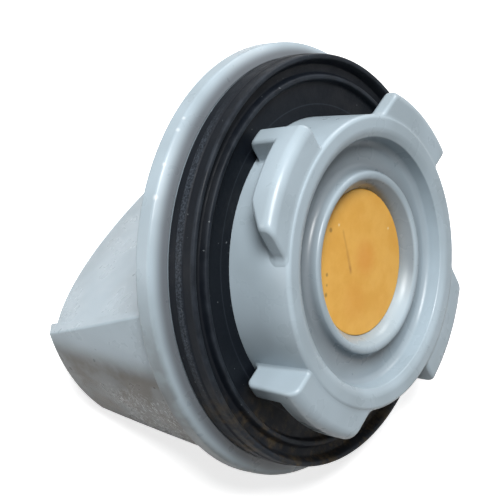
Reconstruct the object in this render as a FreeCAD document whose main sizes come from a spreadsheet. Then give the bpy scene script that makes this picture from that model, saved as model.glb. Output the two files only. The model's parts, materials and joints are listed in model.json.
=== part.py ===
import FreeCAD, Part
import math
import os
import re
import Sketcher

# Water tank cap: a round flange with a wedge-shaped finger grip on its back, and a
# four-lug bayonet ring with a ribbed sealing gasket on its front.
# Every sub-part is modelled about the cap's own axis: Z runs out of the bayonet, Z = 0 is
# the flange's front face, and X is the long way of the grip.
# The finished cap is then laid down on the flange's edge and the grip's dome.

SIZES = [
    ("rim_radius", 50.0, "flange, outer radius"),
    ("rim_height", 7.1, "flange, front face to back face"),
    ("rim_front_round", 2.0, "rounding of the flange's front edge"),
    ("rim_back_round", 0.6, "rounding of the flange's back edge"),
    ("rim_wall", 2.4, "wall round the recess in the flange's face"),
    ("seat_depth", 3.5, "recess in the flange's face, depth"),
    ("grip_half_width", 23.5, "grip, half its width where it meets the flange"),
    ("grip_side_draft", 15.6, "grip, lean of each side, degrees"),
    ("grip_end_inset", 2.0, "step from the flange's edge to the grip's end"),
    ("grip_end_draft", 7.4, "grip, lean of each end, degrees"),
    ("grip_height", 54.9, "grip, flange's back to the top of the dome"),
    ("grip_root", 2.0, "depth that the grip runs into the flange"),
    ("dome_radius", 62.8, "radius of the grip's domed top"),
    ("panel_depth", 1.1, "recess of the finger panel in each side"),
    ("rib_width", 1.35, "end rib beside the finger panel, width"),
    ("panel_end_draft", 4.2, "lean of the panel's end walls, degrees"),
    ("grip_round", 0.6, "rounding of the grip's edges"),
    ("junction_round", 1.0, "rounding where the grip meets the flange"),
    ("grip_wall", 3.0, "wall of the hollow grip"),
    ("web_thickness", 2.4, "web inside the grip"),
    ("web_depth", 16.0, "web, distance below the seat"),
    ("boss_radius", 9.0, "screw boss inside the grip"),
    ("plate_thickness", 2.5, "base plate of the bayonet ring"),
    ("plate_clearance", 0.2, "gap between the base plate and the flange's recess"),
    ("gasket_gap", 0.3, "gap between the gasket and the flange's recess"),
    ("gasket_floor", 3.55, "height of the gasket's flat part"),
    ("lip_inset", 0.4, "step from the gasket's foot in to its tall lip"),
    ("lip_rise", 2.35, "tall lip, height above the gasket's flat part"),
    ("lip_width", 0.9, "flat on top of the tall lip"),
    ("lip_foot_width", 2.3, "tall lip, width at its foot"),
    ("lip_bevel", 0.55, "bevel of the tall lip's outer edge, height"),
    ("bead_rise", 0.15, "step on the gasket's outer wall, height above its flat part"),
    ("bead_depth", 0.35, "depth of the step on the gasket's outer wall"),
    ("bead_lean", 0.0875, "lean of the gasket's outer wall up to its step"),
    ("channel_width", 1.9, "channel between the tall lip and the inner ridge"),
    ("ridge_foot_width", 2.2, "inner ridge, width at its foot"),
    ("ridge_width", 0.9, "flat on top of the inner ridge"),
    ("ridge_rise", 1.65, "inner ridge, height above the gasket's flat part"),
    ("gasket_round", 0.3, "rounding of the gasket's ribs"),
    ("gasket_clearance", 0.15, "gap between the gasket's bore and the ring"),
    ("lug_gap", 2.2, "gap between the lugs and the gasket's inner ridge"),
    ("lug_flare", 1.4, "growth of the lug's outer radius towards its front"),
    ("lug_reach", 5.9, "lug's outer face at the gasket to the ring"),
    ("lug_setback", 0.4, "step from the ring's front face down to the lug's"),
    ("lug_thickness", 6.8, "bayonet lug, front face to locking face"),
    ("lug_width", 23.6, "bayonet lug, across its two ends"),
    ("lug_round", 2.5, "rounding of the lug's outer front edge"),
    ("lug_count", 4, "number of lugs"),
    ("stop_width", 4.4, "stop leg at one end of the lug, width"),
    ("stop_gap", 1.0, "gap between the stop leg and the gasket"),
    ("stop_bevel", 1.0, "bevel of the stop leg's outer foot"),
    ("ramp_length", 5.2, "lead-in ramp under the lug, length"),
    ("ramp_rise", 3.3, "lead-in ramp under the lug, rise at the open end"),
    ("ring_height", 19.1, "bayonet ring, height above the flange's face"),
    ("ring_taper", 0.2, "growth of the ring's outer radius towards its root"),
    ("ring_round", 1.2, "rounding of the ring's outer front edge"),
    ("ring_wall", 5.05, "bayonet ring, wall at its front"),
    ("bevel_width", 1.5, "bevel inside the ring's front edge, across"),
    ("bevel_height", 1.15, "bevel inside the ring's front edge, along the axis"),
    ("bevel_round", 0.8, "rounding of the bevel's edges"),
    ("groove_depth", 4.8, "annular groove, depth below the ring's front"),
    ("groove_taper", 0.45, "lean of the groove's outer wall over its depth"),
    ("tube_taper", 0.35, "lean of the groove's inner wall over its depth"),
    ("tube_radius", 19.55, "central tube, outer radius at its rim"),
    ("tube_setback", 1.75, "step from the ring's front down to the tube's rim"),
    ("tube_wall", 2.15, "central tube, wall at its rim"),
    ("tube_round", 0.8, "rounding of the tube's rim"),
    ("core_wall", 3.0, "wall round the hollow under the bayonet ring"),
    ("core_step", 1.5, "step from the groove's outer wall out to the hollow's"),
    ("disc_inset", 1.2, "step from the tube's mouth in to the centre disc"),
    ("disc_sink", 3.25, "centre disc's front, depth below the tube's rim"),
    ("disc_thickness", 2.5, "centre disc, thickness"),
    ("disc_clearance", 0.1, "gap round the centre disc"),
    ("disc_ledge", 2.2, "width of the ledge under the centre disc"),
    ("disc_chamfer", 0.4, "chamfer of the centre disc's front edge"),
    ("hub_floor", 1.5, "height of the floor that the clamp screw bears on"),
    ("key_inset", 8.6, "outer side of a drive key to the foot of the gasket's wall"),
    ("key_thickness", 3.0, "drive keys under the base plate, thickness"),
    ("key_height", 6.0, "drive keys, height"),
    ("key_clearance", 0.3, "gap between a drive key and the grip's wall"),
    ("screw_radius", 3.9, "clamp screw, shank radius"),
    ("screw_length", 22.0, "clamp screw, length under its head"),
    ("head_radius", 7.0, "clamp screw, head radius"),
    ("head_height", 4.8, "clamp screw, head height"),
    ("head_round", 0.6, "rounding of the screw's head"),
    ("screw_clearance", 0.35, "gap round the screw in the hub and the washer"),
    ("socket_width", 6.0, "hexagon socket in the screw's head, across its corners"),
    ("socket_depth", 3.0, "hexagon socket in the screw's head, depth"),
    ("thread_clearance", 0.1, "gap between the screw and the insert's bore"),
    ("washer_radius", 10.0, "washer under the screw's head, radius"),
    ("washer_thickness", 1.6, "washer under the screw's head, thickness"),
    ("insert_radius", 5.6, "threaded insert in the boss, radius"),
    ("insert_length", 14.0, "threaded insert in the boss, length"),
    ("insert_waist", 0.5, "depth of the groove round the insert"),
    ("insert_band", 5.6, "length of the insert on either side of its groove"),
    ("bore_run_out", 8.0, "depth of the boss's bore past the insert"),
    ("seal_radius", 7.3, "sealing ring round the screw, centre of its section"),
    ("seal_section", 0.9, "sealing ring round the screw, section radius"),
]
WORKED_OUT = [
    ("seat_radius", "rim_radius - rim_wall", "recess in the flange's face, radius"),
    ("grip_end_radius", "rim_radius - grip_end_inset", "grip, radius of its ends at the flange"),
    ("panel_half_length", "sqrt(grip_end_radius ^ 2 - grip_half_width ^ 2) - rib_width",
     "half the panel's length where it meets the flange"),
    ("gasket_radius", "seat_radius - gasket_gap", "gasket, outer radius at the flange's face"),
    ("lip_radius", "gasket_radius - lip_inset", "gasket, outer radius of its tall lip"),
    ("lip_height", "gasket_floor + lip_rise", "height of the gasket's tall lip"),
    ("lip_foot_radius", "lip_radius - lip_foot_width", "inner foot of the tall lip"),
    ("bead_height", "gasket_floor + bead_rise", "height of the step on the gasket's wall"),
    ("ridge_outer_radius", "lip_foot_radius - channel_width", "outer foot of the inner ridge"),
    ("ridge_inner_radius", "ridge_outer_radius - ridge_foot_width", "inner foot of the ridge"),
    ("ridge_height", "gasket_floor + ridge_rise", "height of the inner ridge"),
    ("lug_root_radius", "ridge_inner_radius - lug_gap", "lug, outer radius at the gasket"),
    ("lug_radius", "lug_root_radius + lug_flare", "lug, outer radius at its front"),
    ("lug_height", "ring_height - lug_setback", "height of the lug's front face"),
    ("lug_back", "lug_height - lug_thickness", "height of the lug's locking face"),
    ("ramp_start", "lug_width - ramp_length", "lead-in ramp, distance from the stop's end"),
    ("ring_radius", "lug_root_radius - lug_reach", "bayonet ring, outer radius at its front"),
    ("ring_root_radius", "ring_radius + ring_taper", "bayonet ring, outer radius at its root"),
    ("ring_inner_radius", "ring_radius - ring_wall", "bayonet ring, inner radius under its bevel"),
    ("ring_inner_root", "ring_inner_radius - groove_taper", "inner radius at the groove's floor"),
    ("groove_floor", "ring_height - groove_depth", "height of the annular groove's floor"),
    ("tube_root_radius", "tube_radius + tube_taper", "tube, outer radius at the groove's floor"),
    ("tube_height", "ring_height - tube_setback", "height of the central tube's rim"),
    ("tube_mouth_radius", "tube_radius - tube_wall", "tube, inner radius at its rim"),
    ("disc_radius", "tube_mouth_radius - disc_inset", "centre disc, radius"),
    ("disc_height", "tube_height - disc_sink", "height of the centre disc's front"),
    ("key_distance", "seat_radius - key_inset - key_thickness", "inner side of a drive key"),
]
BEYOND = 5.0  # how far a cutting shape runs past what it cuts
CLOSE = 0.02  # how near an edge lies to the place it is looked for at

doc = FreeCAD.newDocument("water_tank_cap")
sheet = doc.addObject("Spreadsheet::Sheet", "Sizes")
for row, (alias, value, note) in enumerate(SIZES + WORKED_OUT, start=1):
    content = f"={value}" if isinstance(value, str) else str(value)
    sheet.set(f"A{row}", alias)
    sheet.set(f"B{row}", content)
    sheet.set(f"C{row}", note)
    sheet.setAlias(f"B{row}", alias)
doc.recompute()
size = {alias: float(sheet.get(alias)) for alias, value, note in SIZES + WORKED_OUT}


def bound(text):
    """Turn the names of sizes in an expression into references to the sheet."""
    return re.sub(r"[a-z]+(?:_[a-z]+)*", lambda m: f"Sizes.{m[0]}" if m[0] in size else m[0], text)


def bind(obj, **properties):
    """Bind properties of an object to expressions over the sizes."""
    for name, text in properties.items():
        obj.setExpression(name.replace("__", "."), bound(text))


def primitive(kind, name, height="0", turn=None, **properties):
    """Add a primitive whose sizes and height are bound to the sheet."""
    obj = doc.addObject(f"Part::{kind}", name)
    if turn is not None:
        obj.Placement = FreeCAD.Placement(FreeCAD.Vector(0, 0, 0), turn)
    bind(obj, Placement__Base__z=height, **properties)
    return obj


def cut(name, base, tool):
    """Cut one shape out of another."""
    obj = doc.addObject("Part::Cut", name)
    obj.Base = base
    obj.Tool = tool
    return obj


def join(name, *shapes):
    """Fuse shapes into one."""
    obj = doc.addObject("Part::MultiFuse", name)
    obj.Shapes = list(shapes)
    return obj


def shared(name, *shapes):
    """Keep what the shapes have in common."""
    obj = doc.addObject("Part::MultiCommon", name)
    obj.Shapes = list(shapes)
    return obj


def block(name, height, length, half_x, half_x_end, half_y, half_y_end):
    """Add a block that narrows as it runs down from a height."""
    down = FreeCAD.Rotation(FreeCAD.Vector(1, 0, 0), -90)
    return primitive("Wedge", name, height, down, Ymin="0", Ymax=length,
                     Xmin=f"-({half_x})", Xmax=half_x, X2min=f"-({half_x_end})", X2max=half_x_end,
                     Zmin=f"-({half_y})", Zmax=half_y, Z2min=f"-({half_y_end})", Z2max=half_y_end)


def origin_part(body, role):
    """Find an origin plane or axis of a body."""
    return next(part for part in body.Origin.OriginFeatures if part.Role == role)


def outline(body, name, role, points):
    """Draw a closed outline in an origin plane, its corners held by expressions."""
    sketch = body.newObject("Sketcher::SketchObject", name)
    sketch.AttachmentSupport = [(origin_part(body, role), "")]
    sketch.MapMode = "FlatFace"
    count = len(points)
    start = [FreeCAD.Vector(math.cos(2 * math.pi * i / count), math.sin(2 * math.pi * i / count), 0)
             for i in range(count)]
    for i in range(count):
        sketch.addGeometry(Part.LineSegment(start[i], start[(i + 1) % count]), False)
    for i in range(count):
        sketch.addConstraint(Sketcher.Constraint("Coincident", i, 2, (i + 1) % count, 1))
    for i, texts in enumerate(points):
        for kind, text in zip(("DistanceX", "DistanceY"), texts):
            place = start[i].x if kind == "DistanceX" else start[i].y
            index = sketch.addConstraint(Sketcher.Constraint(kind, -1, 1, i, 1, place))
            sketch.setExpression(f"Constraints[{index}]", bound(text))
    doc.recompute()
    return sketch


def turned(body, name, points, kind="Revolution"):
    """Turn an outline of (radius, height) corners once round the cap's axis."""
    sketch = outline(body, name + "_outline", "XZ_Plane", points)
    feature = body.newObject(f"PartDesign::{kind}", name)
    feature.Profile = sketch
    feature.ReferenceAxis = (sketch, ["V_Axis"])
    feature.Angle = 360
    doc.recompute()
    return feature


def circles(shape, *places):
    """Name the circular edges about the axis at each (radius, height)."""
    names = []
    for index, edge in enumerate(shape.Edges, start=1):
        if not isinstance(edge.Curve, Part.Circle):
            continue
        for radius, height in places:
            middle = FreeCAD.Vector(0, 0, height)
            if abs(edge.Curve.Radius - radius) < CLOSE and (edge.Curve.Center - middle).Length < CLOSE:
                names.append(f"Edge{index}")
    return names


def softened(body, name, edges, amount, kind="Fillet"):
    """Round or chamfer edges of a body's last feature."""
    if not edges:
        raise ValueError(f"{name}: no edge found")
    base = body.Tip
    feature = body.newObject(f"PartDesign::{kind}", name)
    feature.Base = (base, edges)
    bind(feature, **{"Radius" if kind == "Fillet" else "Size": amount})
    doc.recompute()
    return feature


def new_body(name):
    """Start the body of a sub-part."""
    body = doc.addObject("PartDesign::Body", name)
    doc.recompute()
    return body


def grip_form(name, inset, start):
    """The grip's outer form, moved in by an inset: drafted sides, round ends and a dome."""
    half = f"(grip_half_width - ({inset}) / cos(grip_side_draft))"
    radius = f"(grip_end_radius - ({inset}) / cos(grip_end_draft))"
    side, end = "tan(grip_side_draft)", "tan(grip_end_draft)"
    above = f"({start} + rim_height)"
    sides = block(name + "_sides", start, f"{above} + grip_height", "rim_radius", "rim_radius",
                  f"{half} + {side} * {above}", f"{half} - {side} * grip_height")
    ends = primitive("Cone", name + "_ends", "-(rim_height + grip_height)",
                     Height=f"{above} + grip_height",
                     Radius1=f"{radius} - {end} * grip_height", Radius2=f"{radius} + {end} * {above}")
    dome = primitive("Sphere", name + "_dome", "dome_radius - rim_height - grip_height",
                     Radius=f"dome_radius - ({inset})")
    return shared(name, sides, ends, dome)


def rounded_form(name, inset):
    """The grip's outer form with every edge above its root rounded."""
    form = grip_form(name, inset, "grip_root - rim_height")
    doc.recompute()
    edges = []
    for index, edge in enumerate(form.Shape.Edges, start=1):
        box = edge.BoundBox
        top_seam = box.YLength < CLOSE and box.YMax < CLOSE and box.YMin > -CLOSE
        at_root = box.ZMin > -size["rim_height"]
        if not (top_seam or at_root):
            edges.append((index, size["grip_round"], size["grip_round"]))
    soft = doc.addObject("Part::Fillet", name + "_soft")
    soft.Base = form
    soft.Edges = edges
    return soft


def make_grip():
    """The grip: a narrower middle between two full-width end ribs."""
    middle = rounded_form("grip_middle", "panel_depth")
    length = "(grip_height + grip_root)"
    field = block("panel_field", "grip_root - rim_height", f"{length} + grip_root",
                  "panel_half_length + tan(panel_end_draft) * grip_root",
                  f"panel_half_length - tan(panel_end_draft) * {length}", "rim_radius", "rim_radius")
    ribs = cut("grip_ribs", rounded_form("grip_full", "0"), field)
    return join("grip", middle, ribs)


def make_handle():
    """The flange with its hollow grip, moulded in one."""
    flange = primitive("Cylinder", "flange", "-rim_height", Radius="rim_radius", Height="rim_height")
    doc.recompute()
    soft_flange = doc.addObject("Part::Fillet", "soft_flange")
    soft_flange.Base = flange
    soft_flange.Edges = [
        (int(name[4:]), size[amount], size[amount])
        for height, amount in ((0.0, "rim_front_round"), (-size["rim_height"], "rim_back_round"))
        for name in circles(flange.Shape, (size["rim_radius"], height))]
    outside = join("handle_outside", soft_flange, make_grip())
    doc.recompute()
    reach = math.hypot(size["grip_end_radius"] + CLOSE, size["rim_height"])
    junction = [
        (index, size["junction_round"], size["junction_round"])
        for index, edge in enumerate(outside.Shape.Edges, start=1)
        if edge.BoundBox.ZLength < CLOSE and abs(edge.BoundBox.ZMin + size["rim_height"]) < CLOSE
        and max(vertex.Point.Length for vertex in edge.Vertexes) < reach]
    soft_outside = doc.addObject("Part::Fillet", "handle_soft")
    soft_outside.Base = outside
    soft_outside.Edges = junction
    room = grip_form("grip_room", "panel_depth + grip_wall", "grip_root - seat_depth")
    boss = primitive("Cylinder", "boss", "-(rim_height + grip_height)", Radius="boss_radius",
                     Height="rim_height + grip_height - seat_depth")
    web = block("web", "-(seat_depth + web_depth)", "rim_height + grip_height - seat_depth - web_depth",
                "rim_radius", "rim_radius", "web_thickness / 2", "web_thickness / 2")
    hollow = cut("grip_hollow", room, join("boss_and_web", boss, web))
    seat = primitive("Cylinder", "seat_recess", "-seat_depth", Radius="seat_radius",
                     Height=f"seat_depth + {BEYOND}")
    bore = primitive("Cylinder", "boss_bore", "-(seat_depth + insert_length + bore_run_out)",
                     Radius="insert_radius", Height="insert_length + bore_run_out + seat_depth")
    return cut("handle_cap", soft_outside, join("handle_cuts", seat, hollow, bore))


def make_bayonet():
    """The bayonet ring with its base plate, lugs, annular groove and central tube."""
    body = new_body("bayonet_ring")
    plate_radius = "seat_radius - plate_clearance"
    plate_top = "plate_thickness - seat_depth"
    turned(body, "ring_blank", [
        ("0", "-seat_depth"), (plate_radius, "-seat_depth"), (plate_radius, plate_top),
        ("ring_root_radius", plate_top), ("ring_radius", "ring_height"), ("0", "ring_height")])
    front_edge = circles(body.Tip.Shape, (size["ring_radius"], size["ring_height"]))
    softened(body, "ring_front_edge", front_edge, "ring_round")

    stop_foot = "gasket_floor + stop_gap"
    side = outline(body, "lug_side", "YZ_Plane", [
        ("0", stop_foot), ("stop_width", stop_foot), ("stop_width", "lug_back"),
        ("ramp_start", "lug_back"), ("lug_width", "lug_back + ramp_rise"),
        ("lug_width", "lug_height"), ("0", "lug_height")])
    lug = body.newObject("PartDesign::Pad", "lug")
    lug.Profile = side
    bind(lug, Length=f"lug_radius + {BEYOND}")
    doc.recompute()
    lugs = body.newObject("PartDesign::PolarPattern", "lugs")
    lugs.Originals = [lug]
    lugs.Axis = (origin_part(body, "Z_Axis"), [""])
    lugs.Angle = 360
    bind(lugs, Occurrences="lug_count")
    body.Tip = lugs
    doc.recompute()
    clear = f"lug_radius + lug_width + {BEYOND}"
    over = f"ring_height + {BEYOND}"
    turned(body, "lug_outside", [
        ("lug_root_radius - stop_bevel", "gasket_floor"), (clear, "gasket_floor"), (clear, over),
        ("lug_radius", over), ("lug_radius", "lug_height"),
        ("lug_root_radius", f"{stop_foot} + stop_bevel"),
        ("lug_root_radius - stop_bevel", stop_foot)], "Groove")
    lug_edges = circles(body.Tip.Shape, (size["lug_radius"], size["lug_height"]))
    softened(body, "lug_front_edges", lug_edges, "lug_round")

    hole = "screw_radius + screw_clearance"
    chamber = "disc_radius + disc_clearance - disc_ledge"
    pocket = "disc_radius + disc_clearance"
    ledge = "disc_height - disc_thickness"
    below = f"-(seat_depth + {BEYOND})"
    turned(body, "front_hollows", [
        ("0", below), (hole, below), (hole, "hub_floor"), (chamber, "hub_floor"), (chamber, ledge),
        (pocket, ledge), (pocket, "disc_height"), ("tube_mouth_radius", "tube_height"),
        ("tube_radius", "tube_height"), ("tube_root_radius", "groove_floor"),
        ("ring_inner_root", "groove_floor"), ("ring_inner_radius", "ring_height - bevel_height"),
        ("ring_inner_radius + bevel_width", "ring_height"), ("ring_inner_radius + bevel_width", over),
        ("0", over)], "Groove")
    bevel = circles(body.Tip.Shape,
                    (size["ring_inner_radius"], size["ring_height"] - size["bevel_height"]),
                    (size["ring_inner_radius"] + size["bevel_width"], size["ring_height"]))
    softened(body, "bevel_edges", bevel, "bevel_round")
    rim = circles(body.Tip.Shape, (size["tube_radius"], size["tube_height"]),
                  (size["tube_mouth_radius"], size["tube_height"]))
    softened(body, "tube_rim", rim, "tube_round")

    core_in = f"{chamber} + core_wall"
    core_out = "ring_inner_root + core_step"
    turned(body, "ring_core", [
        (core_in, below), (core_out, below), (core_out, "groove_floor - core_wall"),
        (core_in, "groove_floor - core_wall")], "Groove")
    turned(body, "seal_groove", [
        ("seal_radius - seal_section", below), ("seal_radius + seal_section", below),
        ("seal_radius + seal_section", "2 * seal_section - seat_depth"),
        ("seal_radius - seal_section", "2 * seal_section - seat_depth")], "Groove")

    wall = "(panel_depth + grip_wall) / cos(grip_side_draft)"
    drop = "(seat_depth + key_height - rim_height)"
    half = f"(grip_half_width - {wall} - tan(grip_side_draft) * {drop} - key_clearance)"
    for sign, name in ((1, "key_front"), (-1, "key_back")):
        inner = "key_distance" if sign > 0 else "-(key_distance + key_thickness)"
        outer = "key_distance + key_thickness" if sign > 0 else "-key_distance"
        section = outline(body, name + "_outline", "XZ_Plane", [
            (inner, "-(seat_depth + key_height)"), (outer, "-(seat_depth + key_height)"),
            (outer, "-seat_depth"), (inner, "-seat_depth")])
        key = body.newObject("PartDesign::Pad", name)
        key.Profile = section
        key.Midplane = True
        bind(key, Length=f"2 * {half}")
        doc.recompute()
    return body


def make_gasket():
    """The rubber gasket: a flat ring with a tall outer lip and a low inner ridge."""
    body = new_body("sealing_gasket")
    foot = "plate_thickness - seat_depth"
    bore = "ring_root_radius + gasket_clearance"
    shoulder = "(ridge_outer_radius + ridge_inner_radius) / 2"
    turned(body, "gasket_ring", [
        (bore, foot), ("gasket_radius", foot),
        ("gasket_radius - bead_lean", "bead_height - bead_depth"),
        ("gasket_radius - bead_depth", "bead_height"), ("lip_radius", "lip_height - lip_bevel"),
        ("lip_radius - gasket_round", "lip_height"),
        ("lip_radius - gasket_round - lip_width", "lip_height"),
        ("lip_foot_radius", "gasket_floor"), ("ridge_outer_radius", "gasket_floor"),
        (f"{shoulder} + ridge_width / 2", "ridge_height"),
        (f"{shoulder} - ridge_width / 2", "ridge_height"),
        ("ridge_inner_radius", "gasket_floor"), (bore, "gasket_floor")])
    ridge_middle = (size["ridge_outer_radius"] + size["ridge_inner_radius"]) / 2
    lip = size["lip_radius"] - size["gasket_round"]
    ribs = circles(body.Tip.Shape,
                   (lip, size["lip_height"]),
                   (lip - size["lip_width"], size["lip_height"]),
                   (ridge_middle + size["ridge_width"] / 2, size["ridge_height"]),
                   (ridge_middle - size["ridge_width"] / 2, size["ridge_height"]))
    softened(body, "rib_edges", ribs, "gasket_round")
    return body


def make_disc():
    """The coloured disc that closes the central tube."""
    body = new_body("centre_disc")
    back = "disc_height - disc_thickness"
    turned(body, "disc", [("0", back), ("disc_radius", back), ("disc_radius", "disc_height"),
                          ("0", "disc_height")])
    edge = circles(body.Tip.Shape, (size["disc_radius"], size["disc_height"]))
    softened(body, "disc_edge", edge, "disc_chamfer", "Chamfer")
    return body


def make_screw():
    """The clamp screw with a hexagon socket, which holds the bayonet ring to the handle."""
    body = new_body("clamp_screw")
    seat = "hub_floor + washer_thickness"
    crown = f"{seat} + head_height"
    tip = f"{seat} - screw_length"
    turned(body, "screw", [
        ("0", tip), ("screw_radius - head_round", tip), ("screw_radius", f"{tip} + head_round"),
        ("screw_radius", seat), ("head_radius", seat), ("head_radius", crown), ("0", crown)])
    top = size["hub_floor"] + size["washer_thickness"] + size["head_height"]
    head = circles(body.Tip.Shape, (size["head_radius"], top))
    softened(body, "head_edge", head, "head_round")
    return body


def make_socketed_screw():
    """Cut the hexagon socket into the head of the clamp screw."""
    screw = make_screw()
    socket = doc.addObject("Part::Prism", "screw_socket")
    socket.Polygon = 6
    bind(socket, Circumradius="socket_width / 2", Height=f"socket_depth + {BEYOND}",
         Placement__Base__z="hub_floor + washer_thickness + head_height - socket_depth")
    return cut("clamp_screw_with_socket", screw, socket)


def make_washer():
    """The flat washer under the screw's head."""
    disc = primitive("Cylinder", "washer_disc", "hub_floor", Radius="washer_radius",
                     Height="washer_thickness")
    hole = primitive("Cylinder", "washer_hole", "hub_floor", Radius="screw_radius + screw_clearance",
                     Height="washer_thickness")
    return cut("screw_washer", disc, hole)


def make_insert():
    """The threaded insert pressed into the boss, with a groove round its middle."""
    body = new_body("thread_insert")
    bore = "screw_radius + thread_clearance"
    foot = "-(seat_depth + insert_length)"
    waist = "insert_radius - insert_waist"
    turned(body, "insert", [
        (bore, foot), ("insert_radius", foot), ("insert_radius", f"{foot} + insert_band"),
        (waist, f"{foot} + insert_band"), (waist, "-(seat_depth + insert_band)"),
        ("insert_radius", "-(seat_depth + insert_band)"), ("insert_radius", "-seat_depth"),
        (bore, "-seat_depth")])
    return body


def make_seal():
    """The sealing ring in the base plate, round the clamp screw."""
    body = new_body("screw_seal")
    ring = body.newObject("PartDesign::AdditiveTorus", "seal_ring")
    ring.AttachmentSupport = [(origin_part(body, "XY_Plane"), "")]
    ring.MapMode = "FlatFace"
    bind(ring, Radius1="seal_radius", Radius2="seal_section",
         AttachmentOffset__Base__z="seal_section - seat_depth")
    return body


NODES = {
    "handle_cap": make_handle(),
    "bayonet_ring": make_bayonet(),
    "sealing_gasket": make_gasket(),
    "centre_disc": make_disc(),
    "clamp_screw": make_socketed_screw(),
    "screw_washer": make_washer(),
    "thread_insert": make_insert(),
    "screw_seal": make_seal(),
}
doc.recompute()


def lying_angle():
    """Lift of the cap's axis above the table when the flange's edge and the dome touch it."""
    draft = math.radians(size["grip_side_draft"])
    half_top = (size["grip_half_width"] - math.tan(draft) * size["grip_height"]
                - size["panel_depth"] / math.cos(draft))
    rim_out = size["rim_radius"] - size["rim_back_round"]
    rim_up = size["rim_back_round"] - size["rim_height"]
    top_out = half_top - size["grip_round"]
    top_up = size["grip_round"] - size["rim_height"] - size["grip_height"]
    out, up = rim_out - top_out, rim_up - top_up
    return math.atan2(out, up) - math.asin((size["grip_round"] - size["rim_back_round"])
                                           / math.hypot(out, up))


turn = FreeCAD.Rotation(FreeCAD.Vector(1, 0, 0), 90 - math.degrees(lying_angle()))
lie = FreeCAD.Placement(FreeCAD.Vector(0, 0, 0), turn)
whole = Part.Compound([obj.Shape.copy() for obj in NODES.values()])
whole.Placement = lie
bounds = whole.optimalBoundingBox(False)
lie.Base = FreeCAD.Vector(-bounds.Center.x, -bounds.Center.y, -bounds.ZMin)
for name, obj in NODES.items():
    obj.Label = name
    obj.Placement = lie.multiply(obj.Placement)
doc.recompute()

failed = [o.Name for o in doc.Objects if "Invalid" in o.State or "Error" in o.State]
if failed:
    raise RuntimeError(f"objects that failed: {failed}")
os.makedirs("parts", exist_ok=True)
for name, obj in NODES.items():
    shape = obj.Shape
    if shape.isNull() or not shape.isValid() or shape.Volume <= 0:
        raise RuntimeError(f"{name}: bad shape")
    shape.exportStep(f"parts/{name}.step")
    box = shape.BoundBox
    print(f"{name}: {len(shape.Solids)} solid, {shape.Volume / 1000:.2f} cm3, "
          f"{box.XLength:.1f} x {box.YLength:.1f} x {box.ZLength:.1f} mm")
print(f"axis lift {math.degrees(lying_angle()):.2f} degrees, moved by {tuple(lie.Base)}")
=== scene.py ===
"""Looks of the water tank cap: its pieces, their finishes, the light and the camera."""

from __future__ import annotations

import json
import logging
import math
from dataclasses import dataclass, field
from enum import Enum
from typing import Optional, Sequence, Union

import bmesh
import bpy
from mathutils import Matrix, Vector

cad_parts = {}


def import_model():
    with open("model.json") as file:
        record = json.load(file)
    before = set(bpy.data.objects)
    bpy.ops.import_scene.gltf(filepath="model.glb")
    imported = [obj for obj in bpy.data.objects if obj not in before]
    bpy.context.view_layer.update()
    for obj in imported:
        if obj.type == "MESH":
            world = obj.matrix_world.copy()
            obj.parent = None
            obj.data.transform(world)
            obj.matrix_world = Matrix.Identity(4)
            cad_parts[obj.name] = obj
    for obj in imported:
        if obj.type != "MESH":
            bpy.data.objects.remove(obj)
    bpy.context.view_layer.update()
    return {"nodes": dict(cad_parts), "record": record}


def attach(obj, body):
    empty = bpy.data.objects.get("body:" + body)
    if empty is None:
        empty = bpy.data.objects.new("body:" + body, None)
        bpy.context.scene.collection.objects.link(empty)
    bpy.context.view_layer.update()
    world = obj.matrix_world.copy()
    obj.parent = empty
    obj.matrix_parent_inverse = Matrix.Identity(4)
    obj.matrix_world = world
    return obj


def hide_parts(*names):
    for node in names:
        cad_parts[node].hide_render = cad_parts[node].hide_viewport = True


LOG = logging.getLogger("water_tank_cap")
Pair = tuple[float, float]
Triple = tuple[float, float, float]
Colour = Triple
Material = bpy.types.Material
Mesh = bmesh.types.BMesh
Object = bpy.types.Object
Socket = bpy.types.NodeSocket
Feed = Union[Socket, float, Sequence[float]]

# A millimetre in metres, and the bayonet mount's height over the flange's front face
MM = 0.001
BAYONET_HEIGHT = 11.9 * MM

# In mm: points this close are merged, or count as the same, and a limit gives way by the slack
MERGED = 0.0005
SAME = 0.001
SLACK = 0.01

STEEL: Colour = (0.56, 0.56, 0.58)
BRASS: Colour = (0.72, 0.52, 0.24)


class Maths(Enum):
    """The sums that a finish's nodes use."""

    ADD = "ADD"
    SUBTRACT = "SUBTRACT"
    MULTIPLY = "MULTIPLY"
    MAXIMUM = "MAXIMUM"
    SQRT = "SQRT"


def from_srgb(red: int, green: int, blue: int) -> Colour:
    """Turn a screen colour of 0 to 255 into a linear one.

    Args:
        red: Red part.
        green: Green part.
        blue: Blue part.

    Returns:
        The linear colour.
    """
    return tuple(((part / 255 + 0.055) / 1.055) ** 2.4 if part > 10 else part / 255 / 12.92
                 for part in (red, green, blue))


@dataclass(frozen=True)
class Lie:
    """Where the cap's own axis lies: Z out of the bayonet, zero at the flange's front face."""

    matrix: Matrix

    @classmethod
    def from_record(cls, record: dict, mount: str, height: float) -> "Lie":
        """Read the cap's place from one of the record's mounts.

        Args:
            record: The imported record.
            mount: Name of the mount on the cap's axis.
            height: Height of that mount over the flange's front face, in metres.

        Returns:
            The cap's place.
        """
        found = next(m for m in record["mounts"] if m["name"] == mount)
        axis = Vector(found["axis"]).normalized()
        turn = math.atan2(-axis.y, axis.z)
        base = Vector(found["pos_m"]) - axis * height
        return cls(Matrix.Translation(base) @ Matrix.Rotation(turn, 4, "X"))

    def point(self, x: float, y: float, z: float) -> Vector:
        """Give a place of the cap, in mm, in the scene."""
        return self.matrix @ (Vector((x, y, z)) * MM)

    def direction(self, x: float, y: float, z: float) -> Vector:
        """Give a direction of the cap in the scene."""
        return self.matrix.to_3x3() @ Vector((x, y, z))


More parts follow.
